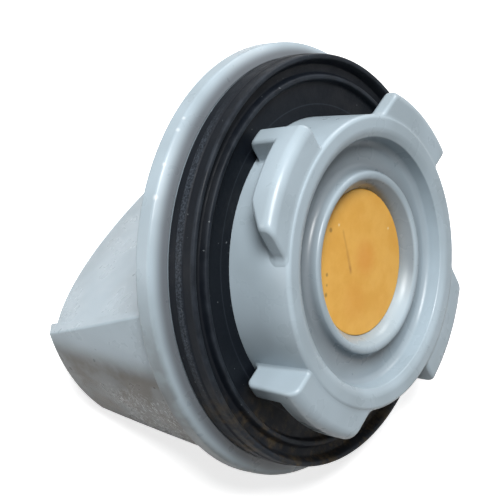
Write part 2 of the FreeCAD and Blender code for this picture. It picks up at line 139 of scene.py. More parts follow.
class Nodes:
    """A node tree, with short calls that add and join its nodes."""

    def __init__(self, tree: bpy.types.NodeTree) -> None:
        """Empty a tree."""
        self.tree = tree
        tree.nodes.clear()

    def feed(self, socket: Socket, value: Feed) -> None:
        """Join a socket to another, or set its value.

        Args:
            socket: The socket that is fed.
            value: Another socket, or a value.
        """
        if isinstance(value, Socket):
            self.tree.links.new(value, socket)
        else:
            socket.default_value = value

    def node(self, kind: str, inputs: dict[Union[int, str], Feed]) -> bpy.types.Node:
        """Add a node.

        Args:
            kind: Its type, without the ShaderNode in front.
            inputs: What each of its inputs is fed.

        Returns:
            The node.
        """
        node = self.tree.nodes.new("ShaderNode" + kind)
        for key, value in inputs.items():
            self.feed(node.inputs[key], value)
        return node

    def split(self, vector: Socket) -> tuple[Socket, Socket, Socket]:
        """Split a vector into its parts.

        Args:
            vector: The vector.

        Returns:
            Its X, Y and Z.
        """
        node = self.node("SeparateXYZ", {0: vector})
        return node.outputs[0], node.outputs[1], node.outputs[2]

    def sum(self, kind: Maths, first: Feed, second: Feed = 0.0) -> Socket:
        """Add a maths node.

        Args:
            kind: The sum.
            first: First value.
            second: Second value.

        Returns:
            The result.
        """
        node = self.node("Math", {0: first, 1: second})
        node.operation = kind.value
        return node.outputs[0]

    def product(self, first: Feed, *others: Feed) -> Feed:
        """Multiply any number of values.

        Args:
            first: First value.
            others: The other values.

        Returns:
            The product.
        """
        for other in others:
            first = self.sum(Maths.MULTIPLY, first, other)
        return first

    def window(self, value: Feed, low: float, high: float, soft: float) -> Socket:
        """Give 1 where a value lies between two limits, and 0 outside.

        Args:
            value: The value.
            low: Lower limit.
            high: Upper limit.
            soft: How far each edge fades, to either side.

        Returns:
            The mark.
        """
        rise = self.between(value, low - soft, low + soft)
        fall = self.between(value, high + soft, high - soft)
        return self.product(rise, fall)

    def between(self, value: Feed, start: float, end: float, low: float = 0.0,
                high: float = 1.0) -> Socket:
        """Map a value's range onto another, smoothly and with its ends held.

        Args:
            value: What is mapped.
            start: Value that gives low.
            end: Value that gives high.
            low: Result at the start.
            high: Result at the end.

        Returns:
            The result.
        """
        node = self.node("MapRange", {
            "Value": value, "From Min": start, "From Max": end, "To Min": low, "To Max": high})
        node.interpolation_type = "SMOOTHSTEP"
        return node.outputs["Result"]

    def mix(self, amount: Feed, first: Feed, second: Feed) -> Socket:
        """Mix two colours.

        Args:
            amount: Share of the second.
            first: First colour.
            second: Second colour.

        Returns:
            The mixed colour.
        """
        node = self.node("Mix", {0: amount})
        node.data_type = "RGBA"
        for socket, value in ((node.inputs[6], first), (node.inputs[7], second)):
            self.feed(socket, value if isinstance(value, Socket) else (*value, 1.0))
        return node.outputs[2]

    def bump(self, height: Socket, distance: float, strength: float,
             normal: Optional[Socket] = None) -> Socket:
        """Add a bump.

        Args:
            height: The pattern that it follows.
            distance: Depth in metres.
            strength: Share of the depth.
            normal: Bump under this one.

        Returns:
            The normal.
        """
        node = self.node("Bump", {"Strength": strength, "Distance": distance, "Height": height})
        if normal is not None:
            self.feed(node.inputs["Normal"], normal)
        return node.outputs["Normal"]

    def seen(self) -> Socket:
        """Give 1 to the rays that show a backdrop, straight or in gloss and glass, and 0 to others.

        Returns:
            The mark.
        """
        rays = self.node("LightPath", {}).outputs
        direct = self.sum(Maths.MAXIMUM, rays["Is Camera Ray"], rays["Is Glossy Ray"])
        return self.sum(Maths.MAXIMUM, direct, rays["Is Transmission Ray"])


class Sheet(Nodes):
    """A material's nodes, with its shader."""

    def __init__(self, name: str) -> None:
        """Start an empty material.

        Args:
            name: The material's name.
        """
        self.material = bpy.data.materials.new(name)
        self.material.use_nodes = True
        super().__init__(self.material.node_tree)
        self.shader = self.node("BsdfPrincipled", {})
        self.node("OutputMaterial", {"Surface": self.shader.outputs["BSDF"]})

    def finish(self, colour: Feed, roughness: Feed, normal: Optional[Socket] = None,
               metallic: float = 0.0, specular: float = 0.5) -> Material:
        """Join what the shader needs.

        Args:
            colour: Base colour.
            roughness: Roughness.
            normal: Bump.
            metallic: 1 for metal.
            specular: Strength of the reflection.

        Returns:
            The finished material.
        """
        inputs = self.shader.inputs
        self.feed(inputs["Base Color"], colour)
        self.feed(inputs["Roughness"], roughness)
        inputs["Metallic"].default_value = metallic
        inputs["Specular IOR Level"].default_value = specular
        if normal is not None:
            self.feed(inputs["Normal"], normal)
        return self.material


class CapSheet(Sheet):
    """A sheet that knows where its surface lies about the cap's axis, in mm."""

    def __init__(self, name: str, lie: Lie) -> None:
        """Start an empty material.

        Args:
            name: The material's name.
            lie: The cap's place.
        """
        super().__init__(name)
        coordinates = self.node("TexCoord", {})
        inverse = lie.matrix.inverted()
        mapping = self.node("Mapping", {
            "Vector": coordinates.outputs["Object"], "Location": inverse.translation / MM,
            "Rotation": inverse.to_euler(), "Scale": (1 / MM, 1 / MM, 1 / MM)})
        self.place = mapping.outputs["Vector"]
        self.x, self.y, self.z = self.split(self.place)
        squares = self.sum(Maths.ADD, self.product(self.x, self.x), self.product(self.y, self.y))
        self.radius = self.sum(Maths.SQRT, squares)

    def noise(self, scale: float, detail: float = 3.0, roughness: float = 0.55,
              stretch: Optional[Sequence[float]] = None) -> Socket:
        """Add a noise pattern.

        Args:
            scale: Grains per mm.
            detail: Number of finer layers.
            roughness: Strength of the finer layers.
            stretch: Scale along each axis.

        Returns:
            The pattern, about 0.3 to 0.7.
        """
        vector = self.place
        if stretch is not None:
            vector = self.node("Mapping", {"Vector": vector, "Scale": stretch}).outputs["Vector"]
        node = self.node("TexNoise", {
            "Vector": vector, "Scale": scale, "Detail": detail, "Roughness": roughness})
        return node.outputs["Fac"]

    def spot(self, centre: Sequence[float], radius: float, soft: float) -> Socket:
        """Give 1 within a radius of a place, in mm, and 0 outside.

        Args:
            centre: The place.
            radius: The radius.
            soft: How far the edge fades, to either side.

        Returns:
            The mark.
        """
        node = self.node("VectorMath", {0: self.place, 1: centre})
        node.operation = "DISTANCE"
        return self.between(node.outputs["Value"], radius + soft, max(radius - soft, 0.0))

    def stroke(self, start: Sequence[float], end: Sequence[float], width: float,
               soft: float = 0.6) -> Socket:
        """Give 1 along a thin straight line on a flat face, in mm, and 0 beside it.

        Args:
            start: One end, as x and y.
            end: The other end.
            width: Width.
            soft: How far each end fades, to either side.

        Returns:
            The mark.
        """
        along = Vector(end) - Vector(start)
        mapping = self.node("Mapping", {"Vector": self.place, "Location": (*start, 0.0),
                                        "Rotation": (0.0, 0.0, math.atan2(along.y, along.x))})
        mapping.vector_type = "TEXTURE"
        run, side, _ = self.split(mapping.outputs["Vector"])
        return self.product(self.window(run, 0.0, along.length, soft),
                            self.window(side, -width / 2, width / 2, width / 2))


@dataclass(frozen=True)
class SatinPlastic:
    """Satin blue-grey moulded plastic, scuffed and dirtied low down, with shade and glints painted into
    its colour.
    """

    lie: Lie
    colour: Colour = from_srgb(174, 190, 200)
    shade: Colour = from_srgb(162, 177, 186)
    # Brown grime together with painted shade, for the low parts that face down.
    soil_and_shade: Colour = from_srgb(54, 42, 18)
    # Painted shade for the bottom of the groove and the tube's inner wall.
    recess_shade: Colour = from_srgb(112, 120, 126)
    shadow: Colour = from_srgb(80, 84, 90)
    # Light colour of the scuffs and nicks, also laid on as painted glints low on the grip's end.
    scuff_and_glint: Colour = from_srgb(222, 228, 232)
    roughness: Pair = (0.25, 0.39)
    scuffed_end: Pair = (-36.0, -43.0)
    scuff_depth: float = 0.00015
    scuff_strength: float = 0.7
    nicked: tuple[Pair, ...] = (
        (122.3, 0.45), (114.1, 0.25), (104.6, 0.3), (101.1, 0.22))
    nick_radius: float = 49.8
    nick_height: float = -3.5
    nick_soft: float = 0.4
    nick_share: float = 0.7

    def material(self, name: str) -> Material:
        """Build the material.

        Args:
            name: The material's name.

        Returns:
            The material.
        """
        sheet = CapSheet(name, self.lie)
        cloud = sheet.between(sheet.noise(0.05, 2.0), 0.35, 0.65)
        colour = sheet.mix(cloud, self.shade, self.colour)
        # Painted shade in the groove, the tube's mouth and beside the gasket; grime with painted shade low
        # down; scuffs with painted glints.
        for share, tint in ((self.groove_shade(sheet), self.recess_shade), (self.joint_shade(sheet), self.shadow),
                            (self.throat(sheet), self.recess_shade), (self.soiled_and_shaded(sheet), self.soil_and_shade),
                            (self.grimed_and_shaded(sheet), self.soil_and_shade), (self.flecks_and_glints(sheet), self.scuff_and_glint)):
            colour = sheet.mix(share, colour, tint)
        for azimuth, size in self.nicked:
            turn = math.radians(azimuth)
            centre = (self.nick_radius * math.cos(turn), self.nick_radius * math.sin(turn),
                      self.nick_height)
            nick = sheet.spot(centre, size, self.nick_soft)
            colour = sheet.mix(sheet.product(nick, self.nick_share), colour, self.scuff_and_glint)
        rough = sheet.between(sheet.noise(0.15, 3.0, 0.5), 0.3, 0.7, *self.roughness)
        normal = sheet.bump(self.scuffed(sheet), self.scuff_depth, self.scuff_strength)
        return sheet.finish(colour, rough, normal)

    def soiled_and_shaded(self, sheet: CapSheet) -> Feed:
        """Give the brown grime and painted shade low on the grip's end and on its underside.

        Args:
            sheet: The material's sheet.

        Returns:
            The share of grime and painted shade.
        """
        end = sheet.product(sheet.between(sheet.y, 13.5, 6.5), sheet.between(sheet.x, -34.0, -40.0))
        low = sheet.sum(Maths.MAXIMUM, end, sheet.between(sheet.y, 3.0, -3.0))
        patches = sheet.between(sheet.noise(0.11, 4.0, 0.6), 0.36, 0.6, 0.75, 1.0)
        return sheet.product(low, sheet.between(sheet.z, -4.5, -9.0),
                             sheet.between(sheet.x, -5.0, -34.0, 0.5, 1.0), patches, 0.95)

    def throat(self, sheet: CapSheet) -> Feed:
        """Give the painted shade on one side of the tube's inner wall, above the disc.

        Args:
            sheet: The material's sheet.

        Returns:
            The share of painted shade.
        """
        # Painted shade on the downward-facing part of the tube's inner wall.
        return sheet.product(sheet.window(sheet.radius, 16.2, 18.6, 0.3),
                             sheet.window(sheet.z, 13.8, 16.8, 0.3),
                             sheet.between(sheet.x, 4.0, 14.0, 0.0, 0.75))

    def joint_shade(self, sheet: CapSheet) -> Feed:
        """Give the painted shade on the flange's slanted edge, darker towards the gasket.

        Args:
            sheet: The material's sheet.

        Returns:
            The share of painted shade.
        """
        return sheet.product(sheet.between(sheet.radius, 49.75, 47.3, 0.0, 0.9),
                             sheet.between(sheet.radius, 46.3, 46.5),
                             sheet.window(sheet.z, -3.4, 0.2, 0.2))

    def groove_shade(self, sheet: CapSheet) -> Feed:
        """Give the painted shade low in the annular groove.

        Args:
            sheet: The material's sheet.

        Returns:
            The share of painted shade.
        """
        deep = sheet.product(sheet.between(sheet.z, 17.6, 14.8), sheet.between(sheet.z, 13.0, 13.8))
        return sheet.product(sheet.window(sheet.radius, 19.6, 27.4, 0.5), deep,
                             sheet.between(sheet.radius, 26.5, 20.5, 0.4, 0.92))

    def grimed_and_shaded(self, sheet: CapSheet) -> Feed:
        """Give the brown grime and painted shade low on the flange's edge and on the outside of the lowest
        lug.

        Args:
            sheet: The material's sheet.

        Returns:
            The share of grime and painted shade.
        """
        # Darker towards the lower side: grime together with painted shade.
        side = sheet.sum(Maths.ADD, sheet.x, sheet.y)
        edge = sheet.product(sheet.between(sheet.radius, 48.8, 49.8), sheet.between(sheet.z, -1.0, -4.0),
                             sheet.between(side, 2.0, -48.0, 0.0, 0.6))
        lug = sheet.product(sheet.window(sheet.radius, 37.4, 40.5, 0.5),
                            sheet.window(sheet.z, 3.0, 15.5, 1.5),
                            sheet.between(side, -40.0, -54.0, 0.0, 0.6))
        patches = sheet.between(sheet.noise(0.2, 3.0, 0.5), 0.35, 0.65, 0.6, 1.0)
        return sheet.product(sheet.sum(Maths.MAXIMUM, edge, lug), patches)

    def flecks_and_glints(self, sheet: CapSheet) -> Feed:
        """Give the bright scuffs low on the grip's end, partly real wear and partly painted glints.

        Args:
            sheet: The material's sheet.

        Returns:
            The share of scuffs and painted glints.
        """
        grains = sheet.between(sheet.noise(1.1, 4.0, 0.75, (1.0, 0.7, 1.3)), 0.52, 0.64)
        return sheet.product(sheet.between(sheet.y, 4.0, -1.0),
                             sheet.between(sheet.x, *self.scuffed_end),
                             sheet.window(sheet.z, -32.0, -10.0, 4.0), grains, 0.8)

    def scuffed(self, sheet: CapSheet) -> Feed:
        """Give the rough scuffs low on the grip's end.

        Args:
            sheet: The material's sheet.

        Returns:
            Their height.
        """
        return sheet.product(sheet.between(sheet.x, *self.scuffed_end),
                             sheet.between(sheet.z, -7.0, -12.0), sheet.between(sheet.y, 5.0, -1.0),
                             sheet.noise(0.9, 6.0, 0.7, (1.0, 2.4, 1.0)))


@dataclass(frozen=True)
class WornRubber:
    """Black rubber, worn grey on its ribs, dusty and tinted by painted brown bounce light on its lower
    side.
    """

    lie: Lie
    colour: Colour = from_srgb(11, 16, 23)
    worn: Colour = from_srgb(78, 86, 96)
    # Brown for the lower side: dirt together with painted bounce light.
    dust_and_bounce: Colour = from_srgb(96, 82, 58)
    speck: Colour = from_srgb(170, 178, 182)
    roughness: Pair = (0.42, 0.56)
    low_roughness: float = 0.12
    lip: Pair = (45.5, 47.2)
    lip_height: float = 5.2
    ridge: Pair = (41.0, 42.3)
    ridge_height: float = 4.7
    floor_ring: float = 35.6
    fine_depth: float = 0.00004
    wave_depth: float = 0.0002
    specular: float = 0.15

    def material(self, name: str) -> Material:
        """Build the material.

        Args:
            name: The material's name.

        Returns:
            The material.
        """
        sheet = CapSheet(name, self.lie)
        patches = sheet.between(sheet.noise(0.22, 5.0, 0.65), 0.32, 0.68, 0.25, 1.0)
        ribs = sheet.sum(Maths.MAXIMUM, self.rib(sheet, self.lip, self.lip_height),
                         self.rib(sheet, self.ridge, self.ridge_height))
        # The lower side is tinted brown: dusty, and painted bounce light from below.
        lower = sheet.between(sheet.sum(Maths.ADD, sheet.x, sheet.y), -34.0, -62.0)
        soft = sheet.between(sheet.noise(0.16, 6.0, 0.7), 0.45, 0.68)
        specks = sheet.between(sheet.noise(1.1, 1.0, 0.4), 0.78, 0.8)
        ring = sheet.window(sheet.radius, self.floor_ring - 0.12, self.floor_ring + 0.12, 0.1)
        colour: Feed = self.colour
        for share, tint in ((sheet.product(ribs, patches, 0.25), self.worn),
                            (self.scraped(sheet), self.worn),
                            (sheet.product(lower, soft, 0.75), self.dust_and_bounce),
                            (sheet.product(specks, 0.25), self.speck),
                            (sheet.product(ring, 0.18), self.worn)):
            colour = sheet.mix(share, colour, tint)
        rough = sheet.sum(Maths.ADD, sheet.between(patches, 0.25, 1.0, *self.roughness),
                          sheet.product(lower, self.low_roughness))
        normal = sheet.bump(sheet.noise(2.2, 4.0), self.fine_depth, 0.5)
        normal = sheet.bump(sheet.noise(0.4, 3.0, 0.5), self.wave_depth, 0.35, normal)
        return sheet.finish(colour, rough, normal, specular=self.specular)

    def scraped(self, sheet: CapSheet) -> Feed:
        """Give the scraped grey band on the step of the gasket's outer wall.

        Args:
            sheet: The material's sheet.

        Returns:
            The share of grey.
        """
        band = sheet.product(sheet.window(sheet.z, 1.0, 2.8, 0.3), sheet.between(sheet.radius, 46.3, 46.6))
        side = sheet.between(sheet.sum(Maths.SUBTRACT, sheet.y, sheet.x), 46.0, 64.0, 0.08, 0.8)
        return sheet.product(band, side, sheet.between(sheet.noise(2.6, 3.0, 0.7), 0.36, 0.74))

    def rib(self, sheet: CapSheet, band: Pair, height: float) -> Feed:
        """Give the worn crest of a rib."""
        crest = sheet.between(sheet.z, height - 0.35, height + 0.25)
        return sheet.product(sheet.window(sheet.radius, band[0], band[1], 0.3), crest)


@dataclass(frozen=True)
class MottledPlastic:
    """Yellow-orange plastic with faint clouds, a darker spot, a hairline scratch and specks."""

    lie: Lie
    colour: Colour = from_srgb(240, 184, 86)
    cloud: Colour = from_srgb(232, 173, 77)
    stain: Colour = from_srgb(226, 146, 58)
    speck: Colour = from_srgb(120, 88, 40)
    light: Colour = from_srgb(246, 222, 170)
    scar: Colour = from_srgb(156, 88, 44)
    face: float = 14.1
    roughness: Pair = (0.42, 0.55)
    fine_depth: float = 0.00003
    specular: float = 0.4
    stain_soft: float = 2.4
    stains: tuple[tuple[float, float, float, float], ...] = (
        (2.0, -0.6, 3.4, 0.5), (-7.5, -5.0, 4.0, 0.2))
    specks: tuple[Triple, ...] = (
        (-3.8, 13.1, 0.5), (-11.1, 6.7, 0.4), (-14.2, 3.6, 0.45), (-12.6, 5.0, 0.25))
    lights: tuple[Triple, ...] = ((-0.8, 11.9, 0.3), (13.3, -1.8, 0.3))
    scratches: tuple[tuple[Pair, Pair, float, float], ...] = (
        ((-0.4, 10.0), (-2.2, 5.4), 0.6, 0.25), ((-2.2, 5.4), (-4.1, 0.9), 0.8, 0.35),
        ((-3.6, 2.2), (-4.3, 0.6), 0.8, 0.3))

    def material(self, name: str) -> Material:
        """Build the material.

        Args:
            name: The material's name.

        Returns:
            The material.
        """
        sheet = CapSheet(name, self.lie)
        clouds = sheet.between(sheet.noise(0.13, 5.0, 0.6), 0.35, 0.65)
        colour = sheet.mix(clouds, self.colour, self.cloud)
        for x, y, radius, amount in self.stains:
            mark = sheet.spot((x, y, self.face), radius, self.stain_soft)
            colour = sheet.mix(sheet.product(mark, amount), colour, self.stain)
        for group, tint, amount, soft in ((self.specks, self.speck, 0.6, 0.25),
                                          (self.lights, self.light, 0.8, 0.15)):
            for x, y, radius in group:
                mark = sheet.spot((x, y, self.face), radius, soft)
                colour = sheet.mix(sheet.product(mark, amount), colour, tint)
        for start, end, width, amount in self.scratches:
            broken = sheet.between(sheet.noise(0.9, 3.0), 0.3, 0.55, 0.25, amount)
            line = sheet.product(sheet.stroke(start, end, width), broken)
            colour = sheet.mix(line, colour, self.scar)
        rough = sheet.between(clouds, 0.0, 1.0, *self.roughness)
        normal = sheet.bump(sheet.noise(1.6, 3.0), self.fine_depth, 0.5)
        return sheet.finish(colour, rough, normal, specular=self.specular)


@dataclass(frozen=True)
class PlainMetal:
    """Metal of the hidden fasteners, with fine turning marks."""

    lie: Lie
    colour: Colour
    roughness: Pair = (0.25, 0.4)
    darker: float = 0.8
    mark_depth: float = 0.00002

    def material(self, name: str) -> Material:
        """Build the material.

        Args:
            name: The material's name.

        Returns:
            The material.
        """
        sheet = CapSheet(name, self.lie)
        marks = sheet.noise(1.5, 3.0, 0.6, (0.3, 0.3, 6.0))
        dark = tuple(self.darker * part for part in self.colour)
        colour = sheet.mix(sheet.between(marks, 0.3, 0.7), dark, self.colour)
        rough = sheet.between(marks, 0.3, 0.7, *self.roughness)
        return sheet.finish(colour, rough, sheet.bump(marks, self.mark_depth, 0.5), metallic=1.0)


@dataclass(frozen=True)
class Corner:
    """A corner of a turned outline."""

    radius: float
    height: float
    soft: float = 0.0
    steps: int = 3


@dataclass
class Lathe:
    """Turns an outline of corners, in mm, into a closed ring."""

    corners: Sequence[Corner]
    segments: int = 192

    def build(self) -> Mesh:
        """Turn the outline once round and round its edges.

        Returns:
            The mesh, about the cap's axis, in mm.
        """
        mesh = bmesh.new()
        points = [mesh.verts.new((corner.radius, 0.0, corner.height)) for corner in self.corners]
        edges = [mesh.edges.new((points[i], points[(i + 1) % len(points)])) for i in range(len(points))]
        bmesh.ops.spin(mesh, geom=points + edges, cent=(0, 0, 0), axis=(0, 0, 1),
                       angle=math.tau, steps=self.segments, use_merge=True)
        bmesh.ops.remove_doubles(mesh, verts=mesh.verts, dist=MERGED)
        bmesh.ops.recalc_face_normals(mesh, faces=mesh.faces)
        for corner in self.corners:
            if corner.soft > 0:
                self.soften(mesh, corner)
        return mesh

    def soften(self, mesh: Mesh, corner: Corner) -> None:
        """Round the circle of edges at a corner.

        Args:
            mesh: The turned mesh.
            corner: The corner.
        """
        def at(vertex: bmesh.types.BMVert) -> bool:
            """Tell whether a vertex lies on the corner's circle."""
            return (abs(vertex.co.xy.length - corner.radius) < SAME
                    and abs(vertex.co.z - corner.height) < SAME)

        circle = [edge for edge in mesh.edges if at(edge.verts[0]) and at(edge.verts[1])]
        bmesh.ops.bevel(mesh, geom=circle, offset=corner.soft, offset_type="OFFSET",
                        segments=corner.steps, profile=0.5, affect="EDGES", clamp_overlap=False,
                        material=-1)


def to_object(mesh: Mesh, name: str, lie: Lie, material: Material,
              smooth_angle: float = 35.0,
              normals: Optional[Sequence[Vector]] = None) -> Object:
    """Lay a mesh that is about the cap's axis, in mm, into the scene.

    Args:
        mesh: The mesh, which is used up.
        name: Name of the new piece.
        lie: The cap's place.
        material: Its finish.
        smooth_angle: Edges flatter than this, in degrees, are shaded smooth.
        normals: Direction at each face's corner, where the mesh has its own.

    Returns:
        The new piece.
    """
    bmesh.ops.transform(mesh, matrix=lie.matrix @ Matrix.Scale(MM, 4), verts=mesh.verts)
    for face in mesh.faces:
        face.smooth = True
    flat = math.radians(smooth_angle)
    for edge in mesh.edges:
        edge.smooth = normals is not None or edge.calc_face_angle(math.pi) < flat
    data = bpy.data.meshes.new(name)
    mesh.to_mesh(data)
    mesh.free()
    data.materials.append(material)
    piece = bpy.data.objects.new(name, data)
    bpy.context.scene.collection.objects.link(piece)
    if normals is None:
        weighted = piece.modifiers.new("weighted", "WEIGHTED_NORMAL")
        weighted.keep_sharp = True
    else:
        data.normals_split_custom_set(normals)
    return piece


@dataclass
class Handle:
    """The flange and its grip, as the solid has them, with the flange's slanted front edge."""

    rim: float = 50.0
    solid_soft: float = 2.0
    seat: float = 47.6
    edge_height: float = -3.9
    edge_soft: float = 0.9
    edge_share: float = 0.55
    edge_tilt: float = 50.0
    face_tilt: float = 62.0
    face_curve: float = 17.4
    inside: Pair = (46.6, -1.23)
    inside_share: float = 2.0

    def build(self, solid: Object, lie: Lie,
              material: Material) -> Object:
        """Build the handle from a copy of its solid, which keeps the solid's own smoothness.

        Args:
            solid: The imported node.
            lie: The cap's place.
            material: Its finish.

        Returns:
            The handle.
        """
        mesh = bmesh.new()
        mesh.from_mesh(solid.data)
        first = mesh.faces.layers.int.new("first_corner")
        for face, polygon in zip(mesh.faces, solid.data.polygons):
            face[first] = polygon.loop_start
        bmesh.ops.remove_doubles(mesh, verts=mesh.verts, dist=MERGED * MM)
        normals = [solid.data.corner_normals[face[first] + number].vector.copy()
                   for face in mesh.faces for number in range(len(face.loops))]
        inverse = Matrix.Scale(1 / MM, 4) @ lie.matrix.inverted()
        bmesh.ops.transform(mesh, matrix=inverse, verts=mesh.verts)
        shares = {vertex: self.share(vertex.co) for vertex in mesh.verts}
        corners = [corner for face in mesh.faces for corner in face.loops]
        for index, corner in enumerate(corners):
            if all(shares[vertex] is not None for vertex in corner.face.verts):
                normals[index] = self.normal(corner.vert.co, shares[corner.vert], lie)
        for vertex, share in shares.items():
            if share is not None:
                self.move(vertex, share)
        return to_object(mesh, "handle_moulding", lie, material, normals=normals)

    def share(self, place: Vector) -> Optional[float]:
        """Tell how far round the solid's front edge a point lies.

        Args:
            place: The point.

        Returns:
            The share, from 0 at the flange's side to 1 at its front, inside_share on the circle
            beside the gasket, or None where the point isn't on the front edge.
        """
        out = place.xy.length
        if place.z < -self.solid_soft - SLACK or out < self.seat - SLACK:
            return None
        if out < self.rim - self.solid_soft - SLACK:
            return self.inside_share
        return math.atan2(place.z + self.solid_soft, out - self.rim + self.solid_soft) / (math.pi / 2)

    def tilt(self, share: float) -> float:
        """Give the tilt of the new edge towards the front.

        Args:
            share: How far round the solid's edge.

        Returns:
            The tilt in radians.
        """
        if share < self.edge_share:
            return math.radians(self.edge_tilt * share / self.edge_share)
        along = min(1.0, (share - self.edge_share) / (1 - self.edge_share))
        return math.radians(self.edge_tilt + (self.face_tilt - self.edge_tilt) * along)

    def normal(self, place: Vector, share: float, lie: Lie) -> Vector:
        """Give the direction that the new edge faces in the scene.

        Args:
            place: The point of the solid's edge.
            share: How far round the solid's edge it lies.
            lie: The cap's place.

        Returns:
            The direction.
        """
        tilt = self.tilt(share)
        out = Vector((place.x, place.y, 0)).normalized() * math.cos(tilt)
        return lie.direction(out.x, out.y, math.sin(tilt)).normalized()

    def move(self, vertex: bmesh.types.BMVert, share: float) -> None:
        """Move a point of the solid's front edge to the new edge.

        Args:
            vertex: The point.
            share: How far round the solid's edge it lies.
        """
        tilt = self.tilt(share)
        first = min(tilt, math.radians(self.edge_tilt))
        radius = self.rim - self.edge_soft * (1 - math.cos(first))
        height = self.edge_height + self.edge_soft * math.sin(first)
        radius -= self.face_curve * (math.cos(first) - math.cos(tilt))
        height += self.face_curve * (math.sin(tilt) - math.sin(first))
        if share == self.inside_share:
            radius, height = self.inside
        way = vertex.co.xy.normalized()
        vertex.co = Vector((way.x * radius, way.y * radius, height))


@dataclass
class Gasket:
    """The ribbed rubber gasket."""

    bore: float = 32.85
    foot: float = -1.0
    outer: float = 46.62
    step: float = 2.75
    step_radius: float = 46.95
    step_low: float = 0.9
    step_slope: float = 0.3
    wall: float = 46.65
    wall_slope: float = 0.35
    lip_lean: float = 0.2
    lip_edge: float = 0.55
    lip_outer: float = 46.6
    lip_inner: float = 45.7
    lip_height: float = 5.9
    lip_foot: float = 44.6
    ridge_outer: float = 42.7
    ridge_inner: float = 40.5
    ridge_height: float = 5.2
    ridge_flat: float = 0.9
    floor: float = 3.55

    def build(self, lie: Lie, material: Material) -> Object:
        """Build the gasket.

        Args:
            lie: The cap's place.
            material: Its finish.

        Returns:
            The gasket.
        """
        crest = (self.ridge_outer + self.ridge_inner) / 2
        half = self.ridge_flat / 2
        mesh = Lathe([
            Corner(self.bore, self.foot), Corner(self.outer, self.foot, 0.2, 2),
            Corner(self.outer, self.step_low, 0.1, 2),
            Corner(self.step_radius, self.step_low + self.step_slope, 0.12, 2),
            Corner(self.step_radius, self.step, 0.15, 2),
            Corner(self.wall, self.step + self.wall_slope, 0.12, 2),
            Corner(self.lip_outer + self.lip_lean, self.lip_height - self.lip_edge, 0.2, 2),
            Corner(self.lip_outer, self.lip_height, 0.3),
            Corner(self.lip_inner, self.lip_height, 0.35),
            Corner(self.lip_foot, self.floor, 0.4),
            Corner(self.ridge_outer, self.floor, 0.4),
            Corner(crest + half, self.ridge_height, 0.3),
            Corner(crest - half, self.ridge_height, 0.3),
            Corner(self.ridge_inner, self.floor, 0.4), Corner(self.bore, self.floor, 0.15, 2),
        ]).build()
        return to_object(mesh, "gasket_rubber", lie, material)


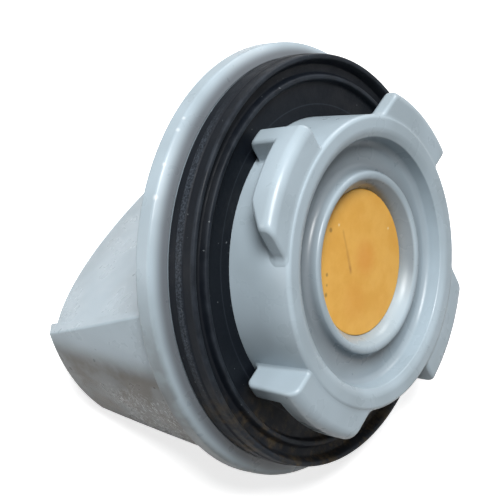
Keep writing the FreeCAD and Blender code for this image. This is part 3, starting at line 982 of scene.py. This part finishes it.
@dataclass
class Lug:
    """One bayonet lug: a locking ledge with a stop leg at one end and a ramp at the other.

    It is shaped straightened out, with X as the distance from the cap's axis, and then bent.
    """

    width: float = 23.6
    stop_width: float = 4.4
    foot: float = 4.55
    back: float = 11.9
    ramp_start: float = 18.4
    ramp_rise: float = 3.3
    front: float = 18.7
    end_cuts: int = 4
    middle_cuts: int = 10
    cut_slack: float = 0.0001
    root_radius: float = 38.3
    radius: float = 39.45
    inside: float = 30.3
    foot_round: float = 1.7
    foot_steps: int = 5
    nose: float = 2.5
    nose_steps: int = 7
    edge: float = 0.8
    edge_steps: int = 4
    edge_angle: float = 32.0
    straight: float = 0.999
    sideways: float = 0.5
    ring_radius: float = 32.77
    fillet: float = 0.9
    fillet_steps: int = 10
    front_root: float = 32.15
    front_reach: float = 1.1
    front_rise: float = 0.22

    def build(self) -> Mesh:
        """Build the lug beside the X axis.

        Returns:
            The mesh, in mm.
        """
        mesh = self.blank()
        self.clear_sides(mesh)
        self.round(mesh)
        self.flare(mesh)
        for vertex in mesh.verts:
            vertex.co.x = math.sqrt(vertex.co.x ** 2 - vertex.co.y ** 2)
        bmesh.ops.recalc_face_normals(mesh, faces=mesh.faces)
        return mesh

    def blank(self) -> Mesh:
        """Make the straightened lug, sharp along its sides.

        Returns:
            The mesh.
        """
        mesh = bmesh.new()
        corners = [mesh.verts.new((self.inside, t, z)) for t, z in (
            (0.0, self.foot), (self.width, self.foot), (self.width, self.front), (0.0, self.front))]
        bmesh.ops.contextual_create(mesh, geom=corners)
        for start, end, count in ((0.0, self.stop_width, self.end_cuts),
                                  (self.stop_width, self.ramp_start, self.middle_cuts),
                                  (self.ramp_start, self.width, self.end_cuts)):
            for index in range(count + 1):
                self.cross(mesh, Vector((0, start + (end - start) * index / count, 0)), Vector((0, 1, 0)))
        for height in self.levels():
            self.cross(mesh, Vector((0, 0, height)), Vector((0, 0, 1)))
        gap = [face for face in mesh.faces if face.calc_center_median().y > self.stop_width
               and face.calc_center_median().z < self.back]
        bmesh.ops.delete(mesh, geom=gap, context="FACES")
        for vertex in mesh.verts:
            vertex.co.z = self.ramped(vertex.co.y, vertex.co.z)
        grown = bmesh.ops.extrude_face_region(mesh, geom=list(mesh.faces))
        for item in grown["geom"]:
            if isinstance(item, bmesh.types.BMVert):
                item.co.x = self.reach(item.co.z)
        bmesh.ops.recalc_face_normals(mesh, faces=mesh.faces)
        return mesh

    def levels(self) -> list[float]:
        """Give the heights at which the lug's outer side bends.

        Returns:
            The heights.
        """
        quarter = math.pi / 2
        foot = [self.foot + self.foot_round * (1 - math.cos(quarter * step / self.foot_steps))
                for step in range(1, self.foot_steps + 1)]
        nose = [self.front - self.nose * (1 - math.sin(quarter * step / self.nose_steps))
                for step in range(self.nose_steps)]
        return foot + [self.back] + nose

    def ramped(self, along: float, height: float) -> float:
        """Give a point's height once the lead-in ramp is cut under the lug.

        Args:
            along: How far along the lug the point lies.
            height: Its height before.

        Returns:
            Its height after.
        """
        top = self.front - self.nose
        share = max(0.0, (along - self.ramp_start) / (self.width - self.ramp_start))
        if not self.back - SLACK < height < top:
            return height
        return top - (top - height) * (1 - share * self.ramp_rise / (top - self.back))

    def reach(self, height: float) -> float:
        """Give the lug's outer radius at a height.

        Args:
            height: The height.

        Returns:
            The radius.
        """
        share = (height - self.foot) / (self.front - self.foot)
        below = max(0.0, 1 - (height - self.foot) / self.foot_round)
        above = max(0.0, 1 - (self.front - height) / self.nose)
        foot = self.foot_round * (1 - math.sqrt(max(0.0, 1 - below ** 2)))
        nose = self.nose * (1 - math.sqrt(max(0.0, 1 - above ** 2)))
        return self.root_radius + (self.radius - self.root_radius) * share - foot - nose

    def cross(self, mesh: Mesh, place: Vector, normal: Vector) -> None:
        """Cut the mesh across at a place."""
        geometry = list(mesh.verts) + list(mesh.edges) + list(mesh.faces)
        bmesh.ops.bisect_plane(mesh, geom=geometry, dist=self.cut_slack, plane_co=place,
                               plane_no=normal)

    def clear_sides(self, mesh: Mesh) -> None:
        """Make each flat side one face, and the inner side one face a column.

        Args:
            mesh: The straightened lug.
        """
        sides = [face for face in mesh.faces if abs(face.normal.y) > self.straight]
        bmesh.ops.dissolve_faces(mesh, faces=sides, use_verts=False)
        rows = [edge for edge in mesh.edges
                if all(face.normal.x < -self.straight for face in edge.link_faces)
                and abs(edge.verts[0].co.y - edge.verts[1].co.y) > SAME]
        bmesh.ops.dissolve_edges(mesh, edges=rows, use_verts=True, use_face_split=False)

    def round(self, mesh: Mesh) -> None:
        """Round the lug's sharp edges, apart from those inside the ring.

        Args:
            mesh: The straightened lug.
        """
        angle = math.radians(self.edge_angle)
        sharp = [edge for edge in mesh.edges if edge.calc_face_angle(0.0) > angle
                 and any(vertex.co.x > self.inside + SLACK for vertex in edge.verts)]
        bmesh.ops.bevel(mesh, geom=sharp, offset=self.edge, offset_type="OFFSET",
                        segments=self.edge_steps, profile=0.5, affect="EDGES", clamp_overlap=False,
                        material=-1)

    def flare(self, mesh: Mesh) -> None:
        """Widen the lug's root into a fillet against the ring.

        Args:
            mesh: The straightened lug.
        """
        reach = self.ring_radius + self.fillet - self.front_root
        for step in range(self.fillet_steps + 1):
            out = self.front_root + reach * step / self.fillet_steps
            self.cross(mesh, Vector((out, 0, 0)), Vector((1, 0, 0)))
        mesh.normal_update()
        front_end = self.front_root + self.front_reach
        for vertex in mesh.verts:
            side = Vector((0, vertex.normal.y, vertex.normal.z))
            if side.length > self.sideways:
                side.normalize()
                front = max(0.0, side.z)
                away = min(1.0, max(0.0, vertex.co.x - self.ring_radius) / self.fillet)
                grown = self.fillet * (1 - math.sqrt(1 - (1 - away) ** 2))
                near = min(1.0, max(0.0, front_end - vertex.co.x) / self.front_reach)
                vertex.co += side * (grown * (1 - front) + self.front_rise * near ** 2 * front)


@dataclass
class BayonetRing:
    """The ring with its base plate, annular groove, central tube and lugs."""

    lug: Lug = field(default_factory=Lug)
    lug_count: int = 4
    plate_radius: float = 46.4
    plate_foot: float = -3.5
    plate_top: float = -1.0
    hole: float = 4.25
    root_radius: float = 32.76
    radius: float = 32.75
    height: float = 19.1
    bevel_outer: float = 29.3
    bevel_inner: float = 27.8
    bevel_height: float = 18.3
    groove_outer: float = 27.3
    groove_floor: float = 14.3
    tube_root: float = 20.9
    tube_radius: float = 20.3
    tube_height: float = 17.1
    mouth: float = 18.9
    throat: float = 17.6
    throat_height: float = 15.7
    pocket: float = 16.5
    pocket_top: float = 14.1
    ledge: float = 11.6
    chamber: float = 14.1
    hub_floor: float = 1.5
    segments: int = 256

    def build(self, lie: Lie, material: Material) -> Object:
        """Build the ring with its lugs.

        Args:
            lie: The cap's place.
            material: Its finish.

        Returns:
            The ring.
        """
        mesh = Lathe([
            Corner(self.hole, self.plate_foot), Corner(self.plate_radius, self.plate_foot),
            Corner(self.plate_radius, self.plate_top), Corner(self.root_radius, self.plate_top),
            Corner(self.radius, self.height, 1.0, 6), Corner(self.bevel_outer, self.height, 0.7, 4),
            Corner(self.bevel_inner, self.bevel_height, 0.2, 3),
            Corner(self.groove_outer, self.groove_floor, 1.5, 6),
            Corner(self.tube_root, self.groove_floor, 1.3, 6),
            Corner(self.tube_radius, self.tube_height, 0.6, 5),
            Corner(self.mouth, self.tube_height, 0.55, 5),
            Corner(self.throat, self.throat_height, 0.3, 3),
            Corner(self.pocket, self.pocket_top), Corner(self.pocket, self.ledge),
            Corner(self.chamber, self.ledge), Corner(self.chamber, self.hub_floor),
            Corner(self.hole, self.hub_floor)], self.segments).build()
        lugs = self.lug.build()
        data = bpy.data.meshes.new("lug")
        lugs.to_mesh(data)
        lugs.free()
        for _ in range(self.lug_count):
            data.transform(Matrix.Rotation(math.tau / self.lug_count, 4, "Z"))
            mesh.from_mesh(data)
        bpy.data.meshes.remove(data)
        return to_object(mesh, "bayonet_moulding", lie, material)


@dataclass
class CentreDisc:
    """The coloured disc in the central tube."""

    radius: float = 16.45
    face: float = 14.1
    thickness: float = 2.5
    soft: float = 0.35
    steps: int = 3
    segments: int = 128

    def build(self, lie: Lie, material: Material) -> Object:
        """Build the disc.

        Args:
            lie: The cap's place.
            material: Its finish.

        Returns:
            The disc.
        """
        mesh = bmesh.new()
        bmesh.ops.create_circle(mesh, cap_ends=True, segments=self.segments, radius=self.radius)
        grown = bmesh.ops.extrude_face_region(mesh, geom=list(mesh.faces))
        top = [item for item in grown["geom"] if isinstance(item, bmesh.types.BMVert)]
        bmesh.ops.translate(mesh, verts=top, vec=(0, 0, self.thickness))
        bmesh.ops.translate(mesh, verts=mesh.verts, vec=(0, 0, self.face - self.thickness))
        bmesh.ops.recalc_face_normals(mesh, faces=mesh.faces)
        rim = [edge for edge in mesh.edges
               if all(abs(vertex.co.z - self.face) < SAME for vertex in edge.verts)]
        bmesh.ops.bevel(mesh, geom=rim, offset=self.soft, offset_type="OFFSET", segments=self.steps,
                        profile=0.5, affect="EDGES", clamp_overlap=True, material=-1)
        return to_object(mesh, "disc_insert", lie, material)


@dataclass(frozen=True)
class Lamp:
    """A soft round lamp, in metres and watts.

    Its direction from the cap is given along the picture's right, up and towards the eye.
    """

    name: str
    toward: Triple
    distance: float
    width: float
    power: float


@dataclass
class Studio:
    """Floor, lamps, world and camera."""

    lie: Lie
    lamps: tuple[Lamp, ...] = (
        Lamp("key_lamp", (0.03, 0.47, 0.88), distance=0.75, width=0.34, power=6.7),
        Lamp("top_lamp", (0.35, 0.9, -0.1), distance=0.8, width=0.4, power=1.8),
        Lamp("side_lamp", (-0.9, 0.0, 0.35), distance=0.8, width=0.4, power=1.4))
    focal: float = 86.4
    sensor: float = 36.0
    clip: float = 0.01
    eye: Triple = (-158.44, 157.64, 164.36)
    right: Triple = (0.48116, -0.41093, 0.77435)
    down: Triple = (-0.67985, -0.73257, 0.03368)
    ahead: Triple = (0.55343, -0.54265, -0.63186)
    floor_size: float = 3.0
    floor_glow: float = 0.72
    floor_seen: Colour = (0.84, 0.84, 0.84)
    floor_bounce: Colour = (0.09, 0.08, 0.07)
    floor_roughness: float = 0.9
    floor_specular: float = 0.1
    sky: Colour = (0.96, 0.98, 1.0)
    sky_strength: float = 0.1

    def build(self) -> None:
        """Set the studio up round the cap."""
        self.camera()
        self.floor()
        self.world()
        for lamp in self.lamps:
            self.lamp(lamp)
        bpy.context.scene.view_settings.view_transform = "Standard"

    def camera(self) -> None:
        """Stand the camera where the photograph was taken from."""
        data = bpy.data.cameras.new("camera")
        data.lens = self.focal
        data.sensor_fit = "HORIZONTAL"
        data.sensor_width = self.sensor
        data.clip_start = self.clip
        camera = bpy.data.objects.new("camera", data)
        right = self.lie.direction(*self.right).normalized()
        back = -self.lie.direction(*self.ahead).normalized()
        up = back.cross(right).normalized()
        camera.matrix_world = (Matrix.Translation(self.lie.point(*self.eye))
                               @ Matrix((right, up, back)).transposed().to_4x4())
        bpy.context.scene.collection.objects.link(camera)
        bpy.context.scene.camera = camera

    def lamp(self, lamp: Lamp) -> None:
        """Hang a lamp.

        Args:
            lamp: The lamp.
        """
        right = self.lie.direction(*self.right)
        up = -self.lie.direction(*self.down)
        back = -self.lie.direction(*self.ahead)
        way = (right * lamp.toward[0] + up * lamp.toward[1] + back * lamp.toward[2]).normalized()
        data = bpy.data.lights.new(lamp.name, "AREA")
        data.shape = "DISK"
        data.size = lamp.width
        data.energy = lamp.power
        light = bpy.data.objects.new(lamp.name, data)
        light.location = self.lie.point(0, 0, 0) + way * lamp.distance
        light.rotation_euler = way.to_track_quat("Z", "Y").to_euler()
        bpy.context.scene.collection.objects.link(light)

    def floor(self) -> None:
        """Lay the pale floor, which the camera sees as plain white."""
        mesh = bmesh.new()
        bmesh.ops.create_grid(mesh, x_segments=1, y_segments=1, size=self.floor_size)
        data = bpy.data.meshes.new("floor")
        mesh.to_mesh(data)
        mesh.free()
        floor = bpy.data.objects.new("floor", data)
        sheet = Sheet("floor")
        path = sheet.node("LightPath", {})
        glow = sheet.product(path.outputs["Is Camera Ray"], self.floor_glow)
        sheet.feed(sheet.shader.inputs["Emission Strength"], glow)
        sheet.shader.inputs["Emission Color"].default_value = (1.0, 1.0, 1.0, 1.0)
        tone = sheet.mix(sheet.seen(), self.floor_bounce, self.floor_seen)
        data.materials.append(sheet.finish(tone, self.floor_roughness,
                                           specular=self.floor_specular))
        bpy.context.scene.collection.objects.link(floor)

    def world(self) -> None:
        """Light the scene evenly, with a white background for the camera."""
        world = bpy.data.worlds.new("studio")
        world.use_nodes = True
        nodes = Nodes(world.node_tree)
        white = nodes.node("Background", {"Color": (1, 1, 1, 1)})
        light = nodes.node("Background", {"Color": (*self.sky, 1), "Strength": self.sky_strength})
        mix = nodes.node("MixShader", {0: nodes.seen(), 1: light.outputs[0], 2: white.outputs[0]})
        nodes.node("OutputWorld", {"Surface": mix.outputs[0]})
        bpy.context.scene.world = world


def dress(node: Object, material: Material) -> None:
    """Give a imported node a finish.

    Args:
        node: The node's object.
        material: The finish.
    """
    node.data.materials.clear()
    node.data.materials.append(material)
    LOG.info("dressed %s", node.name)


def main() -> None:
    """Build the pieces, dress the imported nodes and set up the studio."""
    logging.basicConfig(level=logging.INFO)
    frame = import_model()
    lie = Lie.from_record(frame["record"], "bayonet", BAYONET_HEIGHT)
    plastic = SatinPlastic(lie).material("satin_plastic")
    rubber = WornRubber(lie).material("worn_rubber")
    mottled = MottledPlastic(lie).material("mottled_plastic")
    steel = PlainMetal(lie, STEEL).material("steel")
    brass = PlainMetal(lie, BRASS).material("brass")
    nodes = frame["nodes"]
    dress(nodes["clamp_screw"], steel)
    dress(nodes["screw_washer"], steel)
    dress(nodes["thread_insert"], brass)
    dress(nodes["screw_seal"], rubber)
    for piece, node, slot in (
            (Handle().build(nodes["handle_cap"], lie, plastic), "handle_cap", "grey_plastic"),
            (Gasket().build(lie, rubber), "sealing_gasket", "black_rubber"),
            (BayonetRing().build(lie, plastic), "bayonet_ring", "grey_plastic"),
            (CentreDisc().build(lie, mottled), "centre_disc", "yellow_plastic")):
        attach(piece, "root")
        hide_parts(node)
        LOG.info("built %s: %d faces", piece.name, len(piece.data.polygons))
    Studio(lie).build()


if __name__ == "__main__":
    main()
